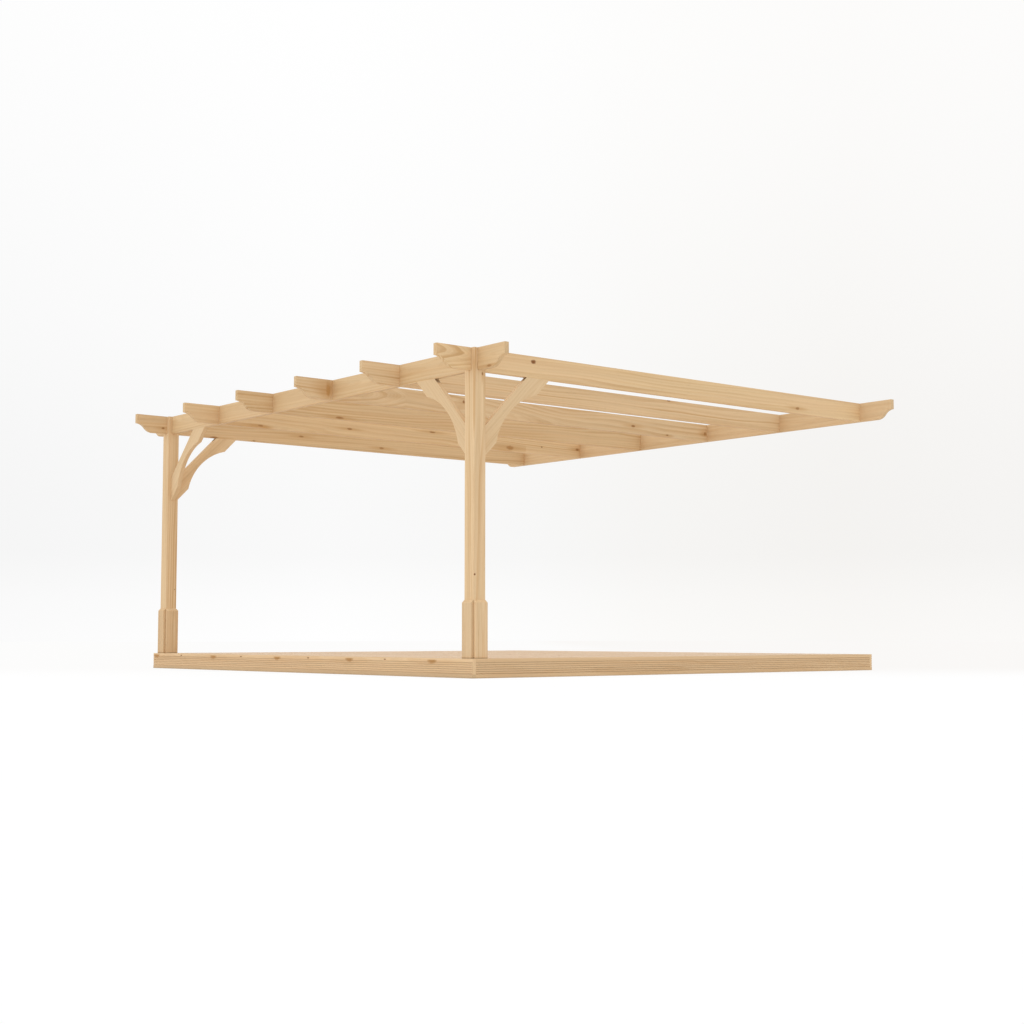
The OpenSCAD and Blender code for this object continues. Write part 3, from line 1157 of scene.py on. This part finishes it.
def dress_floor():
    """Lays the floor boards, and returns the distance from one to the next."""
    low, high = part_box("deck_floor")
    post_low, post_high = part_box("left_post")
    hole = post_high.x - post_low.x + 2 * POST_CLEARANCE
    middle_z = (low.z + high.z) / 2
    pitch = (high.y - low.y - BOARD_WIDTH) / (BOARD_COUNT - 1)
    piece = link_piece("deck_boards", board_mesh(low, high))
    values = {
        "Boards": BOARD_COUNT,
        "Pitch": pitch,
        "Hole Size": (hole, hole, POST_HOLE_HEIGHT),
        "Left Post": post_middle("left", middle_z),
        "Right Post": post_middle("right", middle_z),
        "Wood": FLOOR_PINE,
    }
    grow_by_nodes(piece, make_board_tree(), values)
    board_cut = Cut(
        ALONG_X,
        ALONG_Y,
        pith=(0.010, -0.045),
        seed=101,
        spacing=1.1,
        knot_side=math.pi / 2,
        knot_size=0.008,
    )
    mark_wood(piece.data, board_cut, FLOOR_PINE, ALONG_Z)
    keep_piece(piece, "deck_floor")
    return pitch


def make_screw_tree():
    """A countersunk head with a round drive hole on every point."""
    tree, given, result = new_group(
        "deck_screws",
        "GeometryNodeTree",
        [
            ("Places", GEOMETRY),
            ("Head Radius", FLOAT, SCREW_HEAD / 2),
            ("Neck Radius", FLOAT, SCREW_HEAD / 4),
            ("Head Height", FLOAT, SCREW_HEAD / 2),
            ("Drive Depth", FLOAT, SCREW_DRIVE_DEPTH),
            ("Steel", MATERIAL),
        ],
        [("Screws", GEOMETRY)],
    )
    sockets = {
        "Vertices": SCREW_SIDES,
        "Radius Top": given["Head Radius"],
        "Radius Bottom": given["Neck Radius"],
        "Depth": given["Head Height"],
    }
    head = add_node(tree, "GeometryNodeMeshCone", sockets)
    sockets = {"Mesh": head.outputs["Mesh"], "Selection": head.outputs["Top"], "Offset Scale": 0.0}
    inset = add_node(tree, "GeometryNodeExtrudeMesh", sockets)
    top = inset.outputs["Top"]
    sockets = {"Geometry": inset.outputs["Mesh"], "Selection": top, "Scale": SCREW_DRIVE_SHARE}
    drive = add_node(tree, "GeometryNodeScaleElements", sockets)
    sockets = {"Mesh": drive.outputs["Geometry"], "Selection": top, "Offset Scale": given["Drive Depth"]}
    sunk = add_node(tree, "GeometryNodeExtrudeMesh", sockets)
    sockets = {"Points": given["Places"], "Instance": sunk.outputs["Mesh"]}
    copies = add_node(tree, "GeometryNodeInstanceOnPoints", sockets)
    finish_tree(tree, copies.outputs["Instances"], given["Steel"], result["Screws"])
    return tree


def screw_lines():
    """Where the middles of the joists and of the side rims run, along X."""
    lines = []
    for side in SIDES:
        low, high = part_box(f"{side}_rim")
        lines.append((low.x + high.x) / 2)
    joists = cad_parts["deck_joists"].data
    edges = sorted({round(vertex.co.x, 4) for vertex in joists.vertices})
    for left, right in zip(edges[0::2], edges[1::2]):
        lines.append((left + right) / 2)
    return lines


def under_sleeve(x, y):
    for side in SIDES:
        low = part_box(f"{side}_sleeve_front")[0]
        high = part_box(f"{side}_sleeve_back")[1]
        in_width = low.x - SCREW_FROM_POST < x < high.x + SCREW_FROM_POST
        if in_width and low.y - SCREW_FROM_SLEEVE < y < high.y + SCREW_FROM_SLEEVE:
            return True
    return False


def dress_screws(pitch):
    low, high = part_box("deck_floor")
    lines = screw_lines()
    places = []
    for number in range(BOARD_COUNT):
        front = low.y + number * pitch
        for x in lines:
            for y in (front + SCREW_EDGE, front + BOARD_WIDTH - SCREW_EDGE):
                if not under_sleeve(x, y):
                    places.append((x, y, high.z - SCREW_HEAD / 2 - SCREW_SUNK))
    mesh = bpy.data.meshes.new("screw_places")
    mesh.from_pydata(places, [], [])
    piece = link_piece("deck_screws", mesh)
    grow_by_nodes(piece, make_screw_tree(), {"Steel": SCREW_STEEL})
    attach(piece, BODY)


# Studio

# The floor glows white so that only a soft shadow is left on it, and dims towards the back and to one side
FLOOR_REACH = 60.0
FLOOR_DROP = 0.001
FLOOR_PAINT = (0.93, 0.93, 0.93, 1)
FLOOR_GLOW = 1.02
FLOOR_GLOW_SHARE = 0.88
FLOOR_AWAY = (-0.774, 0.633, 0.0)
FLOOR_FALL = (-3.2, 1.2)
FLOOR_FAR_TONE = (0.970, 0.966, 0.960, 1)
FLOOR_SIDE_FALL = (0.5, 3.0)
FLOOR_SIDE_TONE = (0.946, 0.929, 0.912, 1)

# How high a seen direction points, and the grey behind it
BACKDROP_TONES = ((0, 1.0), (0.023, 0.985), (0.05, 0.951), (0.085, 0.953), (0.19, 0.980), (0.36, 1.0))

# How far a seen direction points to one side, and how the backdrop falls off there and less so higher up
BACKDROP_SIDE = (0.633, 0.774, 0.0)
BACKDROP_FALL = (
    (0, (0.967, 0.967, 0.967)),
    (0.20, (0.967, 0.967, 0.967)),
    (0.385, (1.0, 1.0, 1.0)),
    (0.515, (0.982, 0.980, 0.976)),
    (0.58, (0.968, 0.960, 0.945)),
    (0.70, (0.951, 0.938, 0.919)),
    (0.79, (0.959, 0.948, 0.933)),
)
BACKDROP_FALL_MIDDLE = 0.5
BACKDROP_FALL_FADE = (0.10, 0.36, 1.0, 0.5)

# Light and camera
WORLD_LIGHT = 0.90
KEY_ENERGY = 0.4
KEY_ANGLE = math.radians(70)
KEY_DIRECTION = Vector((0.45, 0.75, -0.5))
SENSOR_WIDTH = 36.0
LENS = 56.0
CAMERA_PLACE = (10.0424, -7.9831, 0.2628)
CAMERA_TURN = math.radians(50.745)
CAMERA_TILT = math.radians(4.460)


def seen_directly(tree):
    """One for the camera and for what it sees in gloss or through glass."""
    path = add_node(tree, "ShaderNodeLightPath")
    gloss = calc(tree, "MAXIMUM", path.outputs["Is Glossy Ray"], path.outputs["Is Transmission Ray"])
    return calc(tree, "MAXIMUM", path.outputs["Is Camera Ray"], gloss)


def show_mixed(tree, share, first, second, output):
    """Shows a share of the second shader over the first one."""
    sockets = {0: share, 1: first.outputs[0], 2: second.outputs[0]}
    mixed = add_node(tree, "ShaderNodeMixShader", sockets)
    feed(tree, tree.nodes[output].inputs["Surface"], mixed.outputs[0])


def tone_ramp(tree, value, stops):
    node = add_node(tree, "ShaderNodeValToRGB", {"Fac": value})
    elements = node.color_ramp.elements
    elements.remove(elements[1])
    for place, colour in stops:
        stop = elements[0] if place == 0 else elements.new(place)
        stop.color = (*colour, 1)
    return node.outputs["Color"]


def make_floor():
    corners = [(-1, -1), (1, -1), (1, 1), (-1, 1)]
    mesh = bpy.data.meshes.new("studio_floor")
    places = [(x * FLOOR_REACH, y * FLOOR_REACH, -FLOOR_DROP) for x, y in corners]
    mesh.from_pydata(places, [], [(0, 1, 2, 3)])
    floor = link_piece("studio_floor", mesh)
    material, tree, shader = new_material("studio_floor")
    feed(tree, shader.inputs["Base Color"], FLOOR_PAINT)
    feed(tree, shader.inputs["Roughness"], 1.0)
    feed(tree, shader.inputs["Specular IOR Level"], 0.0)
    place = add_node(tree, "ShaderNodeTexCoord").outputs["Object"]
    fall = ramp(tree, distance_along(tree, place, FLOOR_AWAY), *FLOOR_FALL)
    side_fall = ramp(tree, distance_along(tree, place, BACKDROP_SIDE), *FLOOR_SIDE_FALL)
    far_tone = blend(tree, side_fall, FLOOR_FAR_TONE, FLOOR_SIDE_TONE)
    sockets = {"Color": blend(tree, fall, WHITE, far_tone), "Strength": FLOOR_GLOW}
    glow = add_node(tree, "ShaderNodeEmission", sockets)
    share = times(tree, seen_directly(tree), FLOOR_GLOW_SHARE)
    show_mixed(tree, share, shader, glow, "Material Output")
    mesh.materials.append(material)


def make_world():
    world = bpy.data.worlds.new("studio")
    bpy.context.scene.world = world
    world.use_nodes = True
    tree = world.node_tree
    light = tree.nodes["Background"]
    feed(tree, light.inputs["Color"], WHITE)
    feed(tree, light.inputs["Strength"], WORLD_LIGHT)
    direction = add_node(tree, "ShaderNodeTexCoord").outputs["Generated"]
    rise = split(tree, direction)[2]
    tone = tone_ramp(tree, rise, [(place, (grey, grey, grey)) for place, grey in BACKDROP_TONES])
    aside = calc(tree, "ADD", distance_along(tree, direction, BACKDROP_SIDE), BACKDROP_FALL_MIDDLE)
    fall_share = ramp(tree, rise, *BACKDROP_FALL_FADE)
    fall = blend(tree, fall_share, WHITE, tone_ramp(tree, aside, BACKDROP_FALL))
    backdrop = add_node(tree, "ShaderNodeBackground", {"Color": vector_calc(tree, "MULTIPLY", tone, fall)})
    show_mixed(tree, seen_directly(tree), light, backdrop, "World Output")


def make_key_light():
    lamp = bpy.data.lights.new("key", "SUN")
    lamp.energy = KEY_ENERGY
    lamp.angle = KEY_ANGLE
    key = link_piece("key", lamp)
    key.rotation_euler = KEY_DIRECTION.to_track_quat("-Z", "Y").to_euler()


def make_camera():
    data = bpy.data.cameras.new("camera")
    data.sensor_width = SENSOR_WIDTH
    data.lens = LENS
    level = math.cos(CAMERA_TILT)
    forward = Vector((-math.sin(CAMERA_TURN) * level, math.cos(CAMERA_TURN) * level, math.sin(CAMERA_TILT)))
    camera = link_piece("camera", data)
    camera.location = CAMERA_PLACE
    camera.rotation_euler = forward.to_track_quat("-Z", "Y").to_euler()
    bpy.context.scene.camera = camera


bpy.context.scene.view_settings.view_transform = "Standard"
make_camera()
make_world()
make_key_light()
make_floor()
dress_roof()
dress_posts()
dress_deck_edge()
floor_pitch = dress_floor()
dress_screws(floor_pitch)
